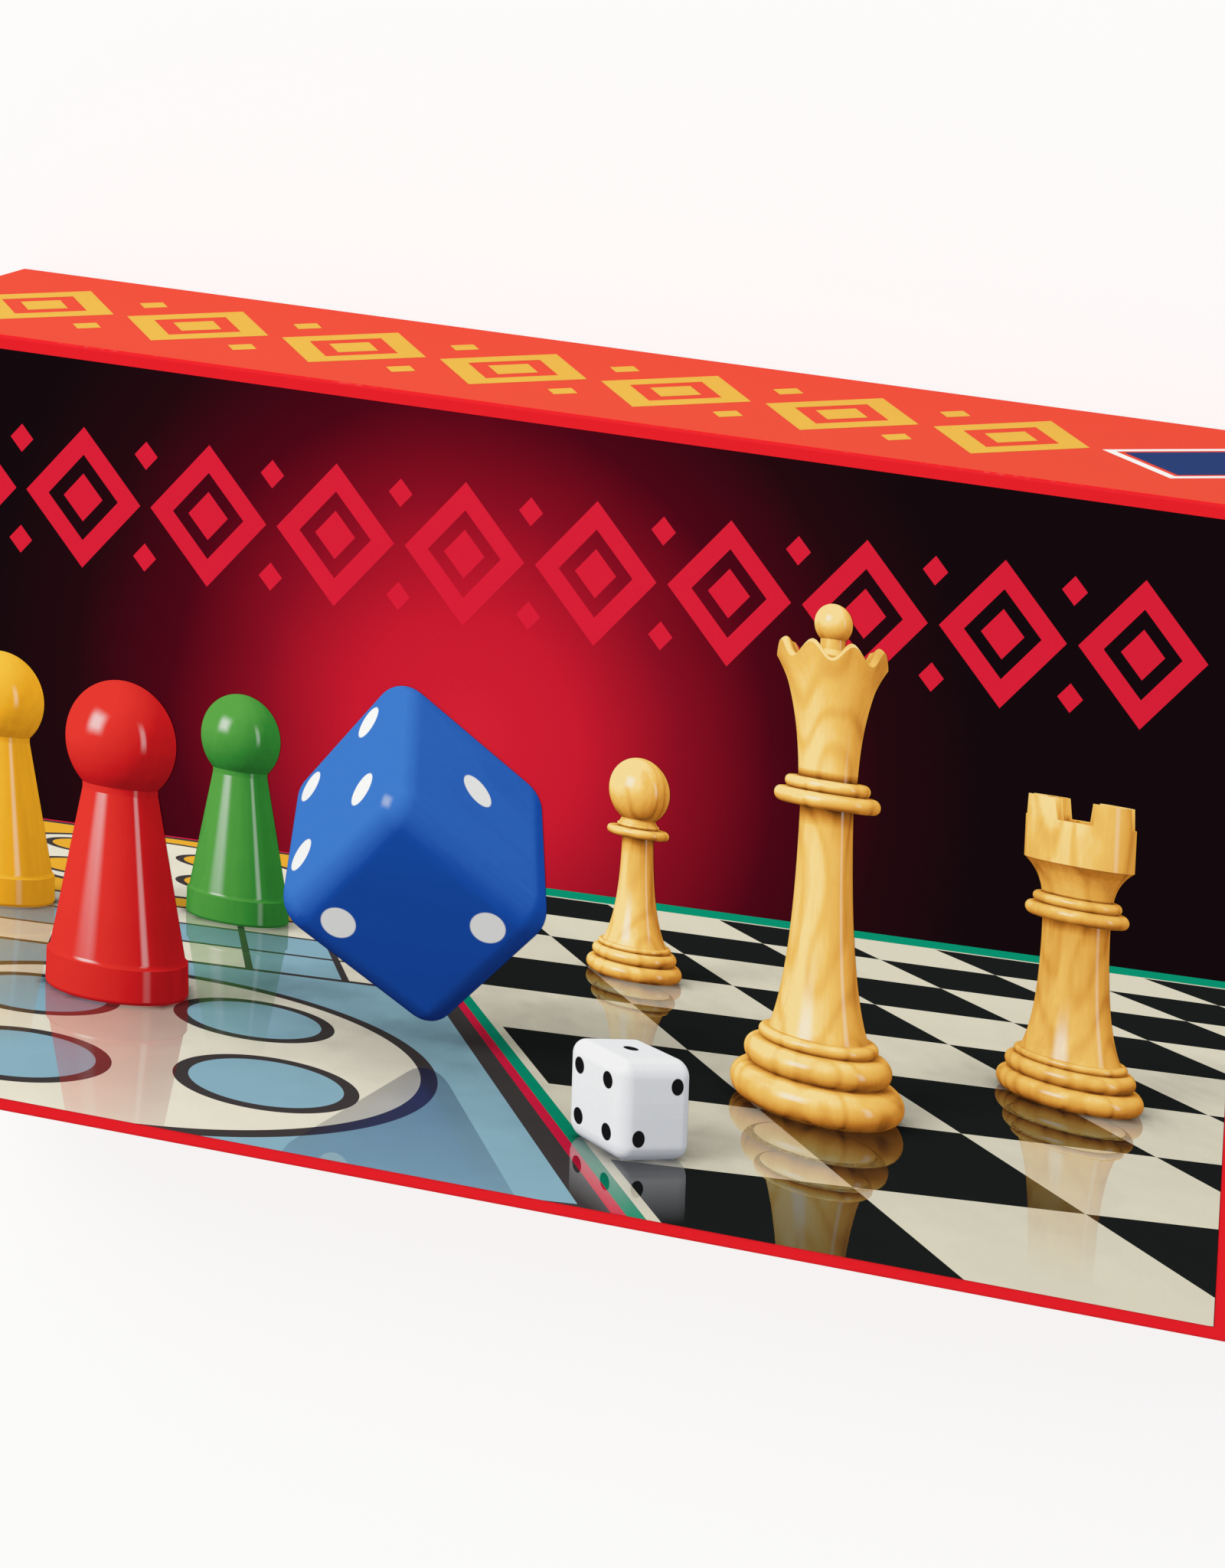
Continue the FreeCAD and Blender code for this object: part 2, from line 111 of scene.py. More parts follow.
# Ludo print, in cells from the board's middle
LUDO_HALF = 7.5
ARM_HALF = 1.5
RUN_END = LUDO_HALF - 1
YARD_MIDDLE = 4.5
YARD_DISC = 2.35
PLACE_OUT = 0.95
PLACE_ROUND = 0.66

# The die's sizes, as in its CAD node
DIE_SIDE = 13.0
DIE_TURN = math.radians(20)
PIP_PITCH = 3.3
PIP_ROUND = 1.05


def ink(red, green, blue):
    """A colour written as screen values from 0 to 255, as the shader's linear colour."""
    shares = [value / 255 for value in (red, green, blue)]
    return (*[s / 12.92 if s <= 0.04045 else ((s + 0.055) / 1.055) ** 2.4 for s in shares], 1)


SIDE_RED = ink(240, 78, 54)
BORDER_RED = ink(236, 31, 40)
WHITE = ink(250, 250, 248)
SOFT_WHITE = ink(244, 243, 238)
RUBBED_WRAP = ink(236, 204, 190)
RUBBED_BOARD = ink(200, 192, 178)
BOARD_EDGE = ink(30, 34, 32)
CLOTH_DEEP, CLOTH_THREAD = ink(20, 22, 22), ink(52, 54, 52)
PIP_BLACK = ink(18, 18, 20)
CHESS_BLACK = ink(24, 27, 26)
CHESS_CREAM = ink(224, 218, 196)
BOARD_GREEN = LUDO_GREEN = ink(3, 148, 113)
LUDO_BLUE = ink(143, 183, 199)
LUDO_RED = ink(217, 28, 66)
LUDO_YELLOW = ink(240, 178, 52)
LUDO_CREAM = ink(238, 232, 212)
LUDO_LINE = ink(66, 60, 60)


class Value:
    """A socket that can be used in arithmetic. Each operation adds a Math node."""

    def __init__(self, nodes, socket):
        self.nodes, self.socket = nodes, socket

    def out(self, name):
        """Another output of the same node."""
        return Value(self.nodes, self.socket.node.outputs[name])

    def math(self, operation, *values):
        """A Math node on the value and any further ones."""
        return self.nodes.node("ShaderNodeMath", {"operation": operation}, (self, *values))

    def __rtruediv__(self, other):
        return self.math("POWER", -1) * other

    __add__ = __radd__ = partialmethod(math, "ADD")
    __sub__ = partialmethod(math, "SUBTRACT")
    __rsub__ = partialmethod(math, "MULTIPLY_ADD", -1)
    __mul__ = __rmul__ = partialmethod(math, "MULTIPLY")
    __truediv__ = partialmethod(math, "DIVIDE")
    __gt__ = partialmethod(math, "GREATER_THAN")
    __lt__ = partialmethod(math, "LESS_THAN")
    __abs__ = partialmethod(math, "ABSOLUTE")
    least = partialmethod(math, "MINIMUM")
    most = partialmethod(math, "MAXIMUM")


class Nodes:
    """A node tree of any kind, filled by one method."""

    def __init__(self, tree):
        self.tree = tree
        tree.nodes.clear()

    def node(self, kind, settings=None, inputs=(), out=0):
        """Adds a node, sets its settings, then its sockets' values or links, and gives one output."""
        made = self.tree.nodes.new(kind)
        for name, value in (settings or {}).items():
            setattr(made, name, value)
        for key, value in inputs.items() if isinstance(inputs, dict) else enumerate(inputs):
            for one in value if isinstance(value, list) else [value]:
                if isinstance(one, Value):
                    self.tree.links.new(one.socket, made.inputs[key])
                else:
                    made.inputs[key].default_value = one
        return Value(self, made.outputs[out]) if made.outputs else None


class Finish(Nodes):
    """One material: a point's place in millimetres, patterns on it, and the shader that they feed."""

    def __init__(self, name, place=None):
        """The place is in the object's frame, or is read from the attribute of that name."""
        self.material = bpy.data.materials.new(name)
        self.material.use_nodes = True
        super().__init__(self.material.node_tree)
        self.spot = self.attribute(place) if place else self.vector(
            "SCALE", self.node("ShaderNodeTexCoord", out="Object"), Scale=1 / MM)

    def attribute(self, name, out="Vector"):
        return self.node("ShaderNodeAttribute", {"attribute_name": name}, out=out)

    def vector(self, operation, *vectors, out=0, **sockets):
        return self.node("ShaderNodeVectorMath", {"operation": operation},
                         {**dict(enumerate(vectors)), **sockets}, out)

    def length(self, x, y):
        """The length of a flat vector."""
        return self.vector("LENGTH", self.node("ShaderNodeCombineXYZ", inputs=[x, y]), out="Value")

    def axes(self, vector=None):
        split = self.node("ShaderNodeSeparateXYZ", inputs=[vector or self.spot])
        return [split.out(axis) for axis in "XYZ"]

    def local(self, vector, place, turn):
        """The vector seen from a frame at that place, with that turn."""
        return self.node("ShaderNodeMapping", {"vector_type": "TEXTURE"},
                         {"Vector": vector, "Location": place, "Rotation": turn})

    def noise(self, size, detail=2.0, stretch=(1, 1, 1), at=None):
        """Clouds of about that size in millimetres, longer along the stretched axes."""
        scaled = self.vector("MULTIPLY", at or self.spot, tuple(1 / (size * s) for s in stretch))
        return self.node("ShaderNodeTexNoise", inputs={"Vector": scaled, "Scale": 1.0, "Detail": detail})

    def flecks(self, size):
        """Distance to the nearest of scattered points, about that far apart in millimetres."""
        scaled = self.vector("SCALE", self.spot, Scale=1 / size)
        return self.node("ShaderNodeTexVoronoi", inputs={"Vector": scaled, "Scale": 1.0}, out="Distance")

    def smooth(self, value, low, high):
        """0 up to low, 1 from high on, and a soft step between them."""
        return self.node("ShaderNodeMapRange", {"interpolation_type": "SMOOTHSTEP"}, {
            "Value": value, "From Min": low, "From Max": high})

    def ramp(self, value, stops):
        made = self.node("ShaderNodeValToRGB", inputs=[value])
        elements = made.socket.node.color_ramp.elements
        while len(elements) < len(stops):
            elements.new(1)
        for element, (position, colour) in zip(elements, stops):
            element.position, element.color = position, colour
        return made

    def mix(self, share, first, second):
        return self.node("ShaderNodeMix", {"data_type": "RGBA"}, {0: share, 6: first, 7: second}, out=2)

    def shaded(self, colour, light):
        """A colour made darker or lighter by a number."""
        return self.vector("SCALE", colour if isinstance(colour, Value) else colour[:3], Scale=light)

    def done(self, colour, roughness, height=None, strength=1.0, **sockets):
        """Closes the material: a shader, with _ for a space in its sockets' names, and a bump in mm."""
        named = {name.replace("_", " "): value for name, value in sockets.items()}
        if height is not None:
            named["Normal"] = self.node("ShaderNodeBump", inputs={
                "Strength": strength, "Distance": MM, "Height": height})
        shader = self.node("ShaderNodeBsdfPrincipled", inputs={
            "Base Color": colour, "Roughness": roughness, **named})
        self.node("ShaderNodeOutputMaterial", inputs=[shader])
        return self.material


# Thin laminate over ink: a soft coat only, so that the ink keeps its colour at a slant
PAPER_SHEEN = {"Specular_IOR_Level": 0.0, "Coat_Weight": 0.06, "Coat_Roughness": 0.25}


def ink_grain(finish):
    """The grain of printed ink under its laminate, and the roughness that it gives."""
    grain = finish.noise(0.8, 3.0)
    return grain, grain * 0.12 + 0.36


# Patterns that the game board and the lid's picture share

def chess_ink(finish, u, v, border):
    """An eight by eight chequer in a border, in squares from a player's left, light on the right."""
    half, line_wide = 4.0, 0.05
    parity = (u.math("FLOOR") + v.math("FLOOR")).math("FLOORED_MODULO", 2)
    out = abs(u - half).most(abs(v - half))
    squares = finish.mix(parity, CHESS_BLACK, CHESS_CREAM)
    line = (out > half) * (out < half + line_wide)
    return finish.mix(line, finish.mix(out > half, squares, border), CHESS_CREAM)


def ludo_ink(finish, u, v, border):
    """A ludo cross on a grid of fifteen cells, measured from the middle of the board."""
    across, along = abs(u), abs(v)
    far, near = across.most(along), across.least(along)
    right, top = u > 0, v > 0
    corner = finish.mix(right, finish.mix(top, LUDO_RED, LUDO_GREEN),
                        finish.mix(top, LUDO_BLUE, LUDO_YELLOW))
    arm_colour = finish.mix(across > along, finish.mix(top, LUDO_RED, LUDO_YELLOW),
                            finish.mix(right, LUDO_GREEN, LUDO_BLUE))

    # Home yards, each with a pale disc and four places for men
    yard_x, yard_y = across - YARD_MIDDLE, along - YARD_MIDDLE
    yard_out = finish.length(yard_x, yard_y)
    place_out = finish.length(abs(yard_x) - PLACE_OUT, abs(yard_y) - PLACE_OUT)
    yard = corner
    for out, reach, colour, line_half in ((yard_out, YARD_DISC, LUDO_CREAM, 0.07),
                                          (place_out, PLACE_ROUND, corner, 0.06)):
        yard = finish.mix(out < reach, yard, colour)
        yard = finish.mix(abs(out - reach) < line_half, yard, LUDO_LINE)

    # Track of cells along the arms, with a coloured start cell and a coloured run home in each
    cell_u, cell_v = (abs((way + 0.5).math("FRACT") - 0.5) for way in (u, v))
    lines = cell_u.most(cell_v) > 0.46
    home = (near < 0.5) * (far < RUN_END)
    start = (near > 0.5) * (far > RUN_END - 1) * (far < RUN_END) * abs((u * v > 0) - (across > along))
    track = finish.mix(home.most(start), LUDO_CREAM, arm_colour)
    track = finish.mix(lines, track, LUDO_LINE)

    # Middle, where the four runs meet
    middle = finish.mix(abs(across - along) < 0.07, arm_colour, LUDO_LINE)
    field = finish.mix(near > ARM_HALF, finish.mix(far < ARM_HALF, track, middle), yard)
    outline = (abs(near - ARM_HALF) < 0.05).most(abs(far - LUDO_HALF) < 0.1)
    field = finish.mix(outline, field, LUDO_LINE)
    return finish.mix(far > LUDO_HALF + 0.1, field, border)


def maple_lines(finish, size, stretch, at=None):
    """Flat-sawn figure, from 0 to 1: contour lines of a noise drawn out along the grain."""
    contours = 52.0
    return (finish.noise(size, 1.0, stretch, at) * contours).math("SINE") * 0.5 + 0.5


def pip_spots(side, pitch):
    """Middles of a die's pips on a cube round the origin, opposite faces adding up to seven."""
    corners, others = [(-pitch, -pitch), (pitch, pitch)], [(-pitch, pitch), (pitch, -pitch)]
    sides, middle = [(-pitch, 0), (pitch, 0)], [(0, 0)]
    faces = [(middle, "X", 0), (corners + others + sides, "X", 180), (corners, "X", 90),
             (corners + others + middle, "X", -90), (corners + middle, "Y", 90),
             (corners + others, "Y", -90)]
    return [Matrix.Rotation(math.radians(angle), 3, axis) @ Vector((x, y, side / 2))
            for spots, axis, angle in faces for x, y in spots]


def pip_distance(finish, spot, side, pitch):
    """Distance from a point to the nearest pip."""
    nearest = None
    for pip in pip_spots(side, pitch):
        away = finish.vector("DISTANCE", spot, tuple(pip), out="Value")
        nearest = away if nearest is None else nearest.least(away)
    return nearest


# Finishes of paper and card

def fibre(finish):
    """The felt of a paper's surface, up to two hundredths of a millimetre high."""
    return finish.noise(0.35, 4.0) * 0.012 + finish.noise(2.4, 2.0) * 0.006


def printed_wrap(name):
    finish = Finish(name)
    x, y, z = finish.axes()
    from_end, from_side, from_top = half_long - abs(x), half_wide - abs(y), lid_top - z

    # Panel: a red border round a glow that fades to black
    glow = finish.length(x - GLOW_AT.x, y - GLOW_AT.y) / GLOW_REACH
    panel = finish.ramp(glow + finish.noise(30) * 0.05 - 0.025, [
        (0.0, ink(218, 32, 52)), (0.22, ink(206, 24, 46)), (0.42, ink(140, 10, 32)),
        (0.60, ink(78, 0, 18)), (0.80, ink(34, 2, 9)), (1.0, ink(15, 2, 6))])
    border = from_end.least(from_side) < BORDER
    top = finish.mix(border, panel, BORDER_RED)
    side = from_top > EDGE_FOLD
    colour = finish.mix(side, top, SIDE_RED)

    # Wear: pale fibres where two faces meet, most at the corners
    two_faces = from_end.least(from_side).most(from_end.most(from_side).least(from_top))
    rubbed = finish.noise(1.6, 4.0) + finish.noise(14.0) * 0.6
    wear = (1 - finish.smooth(two_faces, 0.1, 0.4)) * finish.smooth(rubbed, 0.86, 1.14)
    colour = finish.mix(wear * 0.3, colour, RUBBED_WRAP)
    grain, rough = ink_grain(finish)
    colour = finish.shaded(colour, grain * 0.06 + 0.97)

    # The ends' paper stops short of the corners in a pale cut edge, over flaps that show as two steps
    end_face = (from_end < 0.3) * side
    from_cut = from_side - finish.noise(12.0) * END_CUT_WAVER - END_CUT
    cut_edge = finish.smooth(abs(from_cut), 0.2, 0.08) * end_face
    colour = finish.mix(cut_edge * 0.45, colour, RUBBED_WRAP)
    steps = finish.smooth(from_side, END_FLAP + 0.4, END_FLAP - 0.4) + finish.smooth(from_cut, -0.1, 0.1)
    height = fibre(finish) + steps * end_face * 0.12 - wear * 0.05
    return finish.done(colour, rough + wear * 0.2, height, 0.5, **PAPER_SHEEN)


def paper(name, colour, flecked, grain=0.04):
    """Plain paper or card: fibres, a little mottling and stray flecks."""
    finish = Finish(name)
    clouds = finish.noise(9.0, 3.0)
    fine = finish.noise(0.45, 3.0)
    tone = finish.shaded(colour, clouds * 0.05 + fine * grain + 0.955)
    specks = finish.smooth(finish.flecks(3.1) + finish.noise(5.0) * 0.35, 0.33, 0.24)
    tone = finish.mix(specks * 0.3, tone, flecked)
    return finish.done(tone, fine * 0.15 + 0.7, fibre(finish), 0.8, Specular_IOR_Level=0.25)


def greyboard(name):
    finish = Finish(name)
    clouds = finish.noise(6.0, 4.0, (1.6, 1, 1))
    pulp = finish.noise(0.7, 4.0, (2.2, 1, 1.6))
    tone = finish.ramp(clouds * 0.5 + pulp * 0.5, [
        (0.3, ink(150, 143, 132)), (0.5, ink(172, 165, 153)), (0.7, ink(192, 186, 175))])
    specks = finish.smooth(finish.flecks(2.2), 0.2, 0.12)
    tone = finish.mix(specks * 0.6, tone, ink(104, 96, 88))
    return finish.done(tone, pulp * 0.1 + 0.85, pulp * 0.05, 0.7, Specular_IOR_Level=0.2)


def leaflet_paper(name):
    """Thin paper with a pale chequer printed on the front as the only ornament."""
    finish = Finish(name)
    x, y, z = finish.axes()
    chequer = chess_ink(finish, x / LEAFLET_SQUARE + 4, y / LEAFLET_SQUARE + 4, SOFT_WHITE)
    inside = (abs(x).most(abs(y)) < 4.1 * LEAFLET_SQUARE) * (z > insert_top - 0.2)
    fine = finish.noise(0.5, 3.0)
    colour = finish.mix(inside * 0.35, SOFT_WHITE, chequer)
    colour = finish.shaded(colour, fine * 0.05 + 0.96)
    wave = finish.noise(40.0, 1.0) * 0.25
    return finish.done(colour, fine * 0.1 + 0.68, fibre(finish) + wave, 0.7, Specular_IOR_Level=0.1)


def game_board(name, node, chess_below):
    """Half of the board: chess on its outer face, ludo on its inner face, dark paper round its edges."""
    finish = Finish(name)
    low, high = size_of(node)
    x, y, z = finish.axes()
    from_fold = fold_y - y
    away = from_fold if chess_below else 0 - from_fold
    chess = chess_ink(finish, x / CHESS_SQUARE + 4, away / CHESS_SQUARE + 4, BOARD_GREEN)
    ludo = ludo_ink(finish, x / LUDO_CELL, away / LUDO_CELL, LUDO_RED)
    below = z < (low.z + high.z) / 2
    faces = finish.mix(below, ludo, chess) if chess_below else finish.mix(below, chess, ludo)
    edge = (high.z - z).least(z - low.z) > 0.08
    fine = finish.noise(0.5, 3.0)
    colour = finish.mix(edge, faces, BOARD_EDGE)
    from_rim = (high.x - abs(x)).least(abs(from_fold - (high.y - low.y)))
    rubbed = finish.smooth(from_rim, 1.2, 0.1) * finish.smooth(finish.noise(2.0, 4.0), 0.55, 0.68)
    colour = finish.mix(rubbed * 0.25, finish.shaded(colour, fine * 0.08 + 0.95), RUBBED_BOARD)
    return finish.done(colour, fine * 0.15 + 0.42, fibre(finish), 0.8, **PAPER_SHEEN)


def hinge_cloth(name):
    """Book cloth in the crease, woven over and under. The board's printed paper covers its sides."""
    finish = Finish(name, "folded")
    x, y, z = finish.axes()
    from_fold = fold_y - y
    thread = 0.32
    over, under = ((way * (math.pi / thread)).math("SINE") for way in (x, y))
    weave = over * under * 0.5 + 0.5
    worn = finish.noise(4.0, 3.0)
    colour = finish.mix(weave, CLOTH_DEEP, CLOTH_THREAD)
    colour = finish.shaded(colour, worn * 0.5 + 0.75)
    away = from_fold * ((z < fold_z) * 2 - 1)
    covered = from_fold > CREASE
    paper_print = ludo_ink(finish, x / LUDO_CELL, away / LUDO_CELL, LUDO_RED)
    paper_print = finish.shaded(paper_print, finish.noise(0.5, 3.0) * 0.08 + 0.95)
    return finish.done(finish.mix(covered, colour, paper_print), worn * 0.1 + 0.8 - covered * 0.35,
                       weave * (1 - covered * 0.7) * 0.06, 0.8, Specular_IOR_Level=0.1)


# Finishes of the men and the die

def wood(name, dark, middle, light, stain):
    """Turned and lacquered wood, with its grain along the man, which lies along Y."""
    finish = Finish(name)
    lines = maple_lines(finish, 9.0, (1, 3.4, 1))
    pores = finish.noise(0.22, 3.0, (1, 9.0, 1))
    clouds = finish.noise(14.0, 2.0, (1, 2.0, 1))
    tone = finish.mix(lines * 0.75 + clouds * 0.25, middle, light)
    tone = finish.mix(finish.smooth(pores, 0.52, 0.72) * stain, tone, dark)
    return finish.done(tone, pores * 0.16 + 0.26, pores * 0.02 + lines * 0.006, 0.6,
                       Coat_Weight=0.35, Coat_Roughness=0.18)


def gloss_paint(name, colour):
    """Dipped gloss paint over turned wood, with faint runs and grain."""
    finish = Finish(name)
    grain = finish.noise(0.4, 2.0, (1, 7.0, 1))
    runs = finish.noise(6.0, 2.0)
    tone = finish.shaded(colour, runs * 0.22 + 0.88 + grain * 0.04)
    return finish.done(tone, runs * 0.12 + 0.18, grain * 0.02 + runs * 0.03, 0.6,
                       Coat_Weight=0.5, Coat_Roughness=0.08)


def die_paint(name):
    """White paint with black pips."""
    finish = Finish(name)
    low, high = size_of("die")
    middle = (low + high) / 2
    local = finish.local(finish.spot, tuple(middle), (0, 0, DIE_TURN))
    pips = pip_distance(finish, local, DIE_SIDE, PIP_PITCH)
    clouds = finish.noise(3.0, 3.0)
    white = finish.shaded(SOFT_WHITE, clouds * 0.08 + 0.95)
    colour = finish.mix(finish.smooth(pips, PIP_ROUND + 0.03, PIP_ROUND - 0.05), white, PIP_BLACK)
    return finish.done(colour, clouds * 0.12 + 0.2, clouds * 0.02, 0.5,
                       Coat_Weight=0.4, Coat_Roughness=0.1)


# What makes each slot's finish, and of which colours
makers = {
    "printed_wrap": (printed_wrap,),
    "plain_wrap": (paper, ink(237, 234, 226), ink(205, 198, 184)),
    "greyboard": (greyboard,),
    "insert_card": (paper, ink(232, 228, 217), ink(190, 182, 168), 0.06),
    "divider_card": (paper, ink(230, 226, 214), ink(190, 182, 168), 0.06),
    "leaflet_paper": (leaflet_paper,),
    "hinge_cloth": (hinge_cloth,),
    "light_wood": (wood, ink(176, 118, 52), ink(226, 176, 96), ink(243, 205, 132), 0.4),
    "dark_wood": (wood, ink(30, 17, 10), ink(64, 38, 22), ink(92, 56, 33), 0.7),
    "ludo_green": (gloss_paint, ink(52, 138, 48)),
    "ludo_yellow": (gloss_paint, ink(250, 190, 40)),
    "ludo_red": (gloss_paint, ink(222, 32, 32)),
    "ludo_blue": (gloss_paint, ink(24, 84, 176)),
    "die_white": (die_paint,),
}
finishes = {slot: make(slot, *values) for slot, (make, *values) in makers.items()}
for half, chess_below in (("lower", True), ("upper", False)):
    node = f"board_{half}_half"
    finishes[node] = game_board(f"game_board_{half}", node, chess_below)
for subpart in frame["record"]["subparts"]:
    node = subpart["node"]
    nodes[node].data.materials.clear()
    nodes[node].data.materials.append(finishes.get(node) or finishes[subpart["material_slot"]])


def linked(name, data):
    """A new object in the scene."""
    made = bpy.data.objects.new(name, data)
    bpy.context.scene.collection.objects.link(made)
    return made


def meshed(name, points, faces, material, **values):
    """A new piece of points in millimetres, with values at its points that its material reads."""
    mesh = bpy.data.meshes.new(name)
    mesh.from_pydata((points * MM).tolist(), [], faces)
    for key, value in values.items():
        kind, field = ("FLOAT", "value") if value.ndim == 1 else ("FLOAT_VECTOR", "vector")
        layer = mesh.attributes.new(key, kind, "POINT")
        layer.data.foreach_set(field, value.astype(np.float32).ravel())
    mesh.materials.append(material)
    return linked(name, mesh)


# The lid's picture: solids in a small scene of its own, pressed flat onto the panel

Solid = namedtuple("Solid", "points normals faces rest")


def grid_faces(rows, columns):
    """Four-sided faces between points that are stored row by row."""
    row, column = (i.ravel() for i in np.meshgrid(np.arange(rows), np.arange(columns), indexing="ij"))
    first = row * (columns + 1) + column
    return np.column_stack([first, first + columns + 1, first + columns + 2, first + 1])


def unit(vectors):
    return vectors / np.linalg.norm(vectors, axis=1)[:, None]


def line(start, end, steps=6):
    return np.linspace(start, end, steps)


def bow(start, bend, end, steps=18):
    """A smooth curve from start to end that is drawn towards bend."""
    t = np.linspace(0, 1, steps)[:, None]
    return (1 - t) ** 2 * np.array(start) + 2 * t * (1 - t) * np.array(bend) + t ** 2 * np.array(end)


def round_edge(radius, low, high, start=-90, end=90, steps=14):
    """An arc of a turned edge, out to the radius, from one angle to another."""
    half = (high - low) / 2
    turn = np.radians(np.linspace(start, end, steps))
    return np.column_stack([radius - half + half * np.cos(turn), (low + high) / 2 + half * np.sin(turn)])


def ball(radius, top, neck, steps=30):
    """A ball on the axis, from where it meets the neck up to its top."""
    turn = np.linspace(-math.acos(neck / radius), math.pi / 2, steps)
    return np.column_stack([radius * np.cos(turn), top - radius + radius * np.sin(turn)])


def foot(radius):
    """Foot, cushion and ring of a chessman."""
    return [round_edge(radius, 0, 7), round_edge(radius - 2.8, 7, 12.5),
            round_edge(radius - 5.8, 12.5, 15)]


# Outlines of the men: radius and height in hundredths of a man's height
OUTLINES = {
    "queen": [*foot(18.5), bow((10.5, 15), (6.0, 27), (5.6, 60)), round_edge(11.2, 60, 63),
              round_edge(9.0, 63, 65.5), bow((6.2, 65.5), (6.6, 80), (11.6, 90)),
              bow((11.6, 90), (10.2, 91.4), (9.4, 90), 8), bow((9.4, 90), (5.0, 88.5), (2.6, 91)),
              ball(4.0, 100, 2.6)],
    "rook": [*foot(25), bow((17, 15), (11.2, 27), (11.4, 60)), round_edge(17.5, 60, 64.5),
             round_edge(15, 64.5, 68), bow((12, 68), (13, 75), (18.5, 79)),
             line((18.5, 79), (18.5, 100), 8), line((18.5, 100), (13.2, 100), 3),
             line((13.2, 100), (13.2, 92), 4), line((13.2, 92), (0, 92), 4)],
    "pawn": [*foot(24), bow((16, 15), (8.2, 28), (7.8, 64)), round_edge(15.5, 64, 68),
             round_edge(10.5, 68, 70), ball(15.2, 100, 8.3)],
    "ludo_man": [round_edge(25.5, 0, 2.4, -90, 0, 6), line((25.5, 1.2), (25.2, 11), 4),
                 bow((25.2, 11), (24.4, 11), (24.0, 12.4), 6), line((24.0, 12.4), (13.4, 64), 16),
                 ball(19.6, 100, 13.4)],
}
# The queen's coronet: points, their depth, the rim's height, and the height and radius where they start
CORONET = (8, 1.6, 90.0, 84.0, 8.0)
# The rook's slots, their share of the rim, and the height of their floor
BATTLEMENT = (4, 0.42, 93.0)


def joined(runs):
    """An outline's runs, with a straight one between any two that don't meet."""
    whole = runs[:1]
    for run in runs[1:]:
        if np.abs(run[0] - whole[-1][-1]).max() > 0.01:
            whole.append(line(whole[-1][-1], run[0], 3))
        whole.append(run)
    return whole


def turned(kind, height, around=96):
    """A man of that height, turned about Z, with a crease between the runs of its outline."""
    angle = np.linspace(0, 2 * math.pi, around + 1)
    points, normals, faces, count = [], [], [], 0

    def swept(out, up):
        return np.stack([out * np.cos(angle), out * np.sin(angle), up], 2).reshape(-1, 3)

    for run in joined(OUTLINES[kind]):
        slope = unit(np.gradient(run, axis=0))
        radius, up, out, rise = (np.repeat(column[:, None], around + 1, 1)
                                 for column in (*run.T, slope[:, 1], -slope[:, 0]))
        if kind == "queen":
            tips, deep, rim, low, inside = CORONET
            rising = np.clip((up - low) / (rim - low), 0, 1) * (radius > inside)
            up = up + deep * np.cos(tips * angle) * rising
        if kind == "rook":
            slots, share, low = BATTLEMENT
            in_slot = np.abs(np.mod(angle * slots / (2 * math.pi), 1) - 0.5) < share / 2
            up = np.where(in_slot[None, :], np.minimum(up, low), up)
        points.append(swept(radius, up))
        normals.append(swept(out, rise))
        faces.append(count + grid_faces(len(run) - 1, around)[:, [0, 3, 2, 1]])
        count += len(run) * (around + 1)
    rest = np.concatenate(points) * height / 100
    return Solid(rest, np.concatenate(normals), np.concatenate(faces), rest)


def rounded_cube(side, roundness, steps=40):
    """A cube about the origin with round edges and corners."""
    half = side / 2
    grid = np.linspace(-half, half, steps + 1)
    a, b = (i.ravel() for i in np.meshgrid(grid, grid, indexing="ij"))
    quads = grid_faces(steps, steps)
    points, faces = [], []
    for axis in range(3):
        for sign in (-1, 1):
            face = np.zeros((len(a), 3))
            face[:, axis], face[:, (axis + 1) % 3], face[:, (axis + 2) % 3] = sign * half, a, b
            faces.append((quads if sign > 0 else quads[:, ::-1]) + sum(map(len, points)))
            points.append(face)
    cube = np.concatenate(points)
    core = np.clip(cube, roundness - half, half - roundness)
    normals = unit(cube - core)
    rest = core + normals * roundness
    return Solid(rest, normals, np.concatenate(faces), rest)


def floor_place(x, y):
    """The place on the picture's floor seen at a point of the panel, and the size of things there."""
    share = (HORIZON - y) / EYE_HIGH
    return Vector((x / share, EYE_BACK * (1 / share - 1), 0)), share


def moved(solid, turn, place):
    spin = np.array(Euler(turn).to_matrix())
    return solid._replace(points=solid.points @ spin.T + np.array(place), normals=solid.normals @ spin.T)


def standing(kind, x, y, height, turn=0.0):
    """A man on the picture's floor, its foot at a point of the panel, as high as it looks there."""
    place, share = floor_place(x, y)
    return moved(turned(kind, height / share), (0, 0, math.radians(turn)), place)


def thrown(x, y, side, roundness, lift, *turn):
    """A die over a point of the picture's floor, turned and lifted off it by a share of its side."""
    place, share = floor_place(x, y)
    place.z = side / share * lift
    return moved(rounded_cube(side / share, roundness / share), [math.radians(a) for a in turn], place)


# What stands in the picture: places on the panel in millimetres, and sizes as they look there
picture = {
    "queen": standing("queen", 62, -46, 94, 11),
    "rook": standing("rook", 112, -36, 55, 20),
    "pawn": standing("pawn", 24, -27, 41),
    "red_man": standing("ludo_man", -86, -47, 60),
    "yellow_man": standing("ludo_man", -113, -33, 48),
    "green_man": standing("ludo_man", -60, -29, 43),
    "blue_die": thrown(-22, -47, 42, 6.5, 0.86, 38, 30, 24),
    "white_die": thrown(24, -60, 19, 3.2, 0.5, 0, 0, 34),
}

# Light in the picture: a window on the left, a narrow one on the right, and an even sky
Window = namedtuple("Window", "towards side up half_wide half_high")


